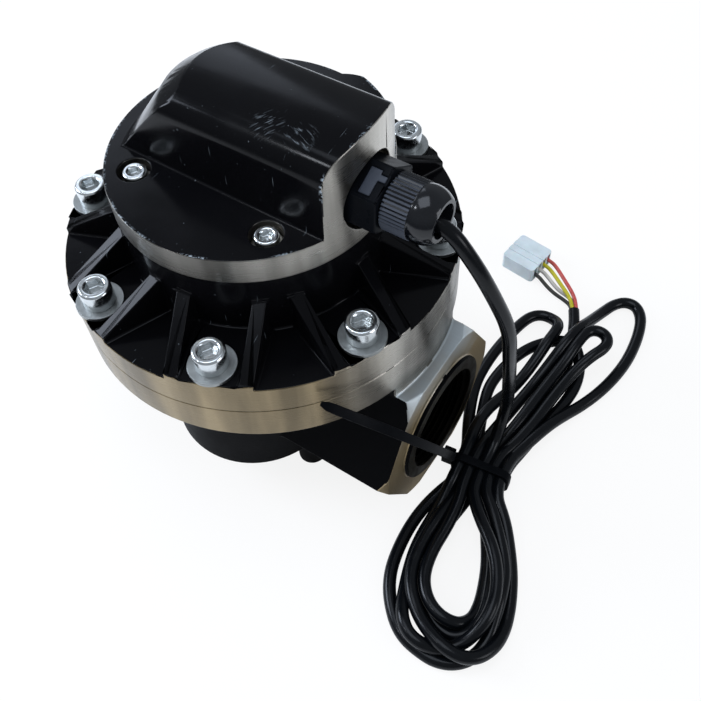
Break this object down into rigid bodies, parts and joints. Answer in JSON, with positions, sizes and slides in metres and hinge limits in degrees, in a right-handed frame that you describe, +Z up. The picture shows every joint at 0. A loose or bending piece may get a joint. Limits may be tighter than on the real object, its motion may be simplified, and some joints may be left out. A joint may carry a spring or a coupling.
{
  "type": "oval gear flow meter",
  "caption": "Oval gear flow meter with a ribbed round cover, hexagonal threaded port bosses, a domed pulse sensor housing and a gland with a folded signal cable and plug.",
  "frame": {"origin": "centre of the base, under the meter's axis", "axes": "+Z up along the meter's axis, +X along the ports towards the cable gland"},
  "size_m": [0.2273, 0.2137, 0.1765],
  "materials": {
    "body_cast": "black paint on cast aluminium, turned faces bare",
    "cover_black": "glossy black on aluminium, bare turned rim",
    "housing_black": "glossy black on aluminium, bare turned rim",
    "screw_steel": "bright stainless",
    "case_screw_steel": "bright stainless",
    "washer_steel": "satin",
    "gland_nylon": "satin black",
    "gland_nut_nylon": "satin black",
    "gland_rubber": "matte",
    "gland_seal_rubber": "matte",
    "cover_seal": "matte",
    "housing_seal": "matte",
    "board_green": "solder mask",
    "sensor_black": "moulded",
    "terminal_green": "moulded",
    "board_screw_steel": "zinc plated",
    "inner_jacket": "satin",
    "shaft_steel": "ground",
    "thrust_brass": "satin",
    "gear_front_metal": "machined",
    "gear_rear_metal": "machined",
    "bush_front_brass": "satin",
    "bush_rear_brass": "satin",
    "magnet_metal": "plated",
    "jacket": "satin black",
    "jacket_hank": "satin black",
    "jacket_tail": "satin black",
    "tie_nylon": "satin black",
    "core_red": "satin",
    "core_yellow": "satin",
    "core_white": "satin",
    "core_black": "satin",
    "plug_nylon": "milky nylon",
    "contact_tin": "tinned"
  },
  "bodies": {
    "meter": {"lower_body": "body_cast", "ribbed_cover": "cover_black", "cover_screws": "screw_steel", "cover_washers": "washer_steel", "electronics_housing": "housing_black", "housing_screws": "case_screw_steel", "gland_body": "gland_nylon", "gland_o_ring": "gland_rubber", "gland_nut": "gland_nut_nylon", "cover_o_ring": "cover_seal", "housing_o_ring": "housing_seal", "sensor_board": "board_green", "hall_sensors": "sensor_black", "board_terminal": "terminal_green", "board_screws": "board_screw_steel", "inner_lead": "inner_jacket", "gland_seal": "gland_seal_rubber", "rotor_shafts": "shaft_steel", "thrust_washers": "thrust_brass", "cable_lead": "jacket", "cable_hank": "jacket_hank", "cable_tail": "jacket_tail", "cable_tie": "tie_nylon", "wire_red": "core_red", "wire_yellow": "core_yellow", "wire_white": "core_white", "wire_black": "core_black", "connector_housing": "plug_nylon", "connector_terminals": "contact_tin"},
    "front_rotor": {"oval_gear_front": "gear_front_metal", "gear_bushes_front": "bush_front_brass", "rotor_magnets": "magnet_metal"},
    "rear_rotor": {"oval_gear_rear": "gear_rear_metal", "gear_bushes_rear": "bush_rear_brass"}
  },
  "joints": [
    {"name": "front_gear_turn", "type": "hinge", "parent": "meter", "child": "front_rotor", "pos_m": [0, -0.0225, 0.06], "axis": [0, 0, 1], "continuous": true},
    {"name": "rear_gear_turn", "type": "hinge", "parent": "meter", "child": "rear_rotor", "pos_m": [0, 0.0225, 0.06], "axis": [0, 0, 1], "continuous": true}
  ],
  "couplings": [
    {"joint": "rear_gear_turn", "follows": "front_gear_turn", "ratio": -1}
  ]
}
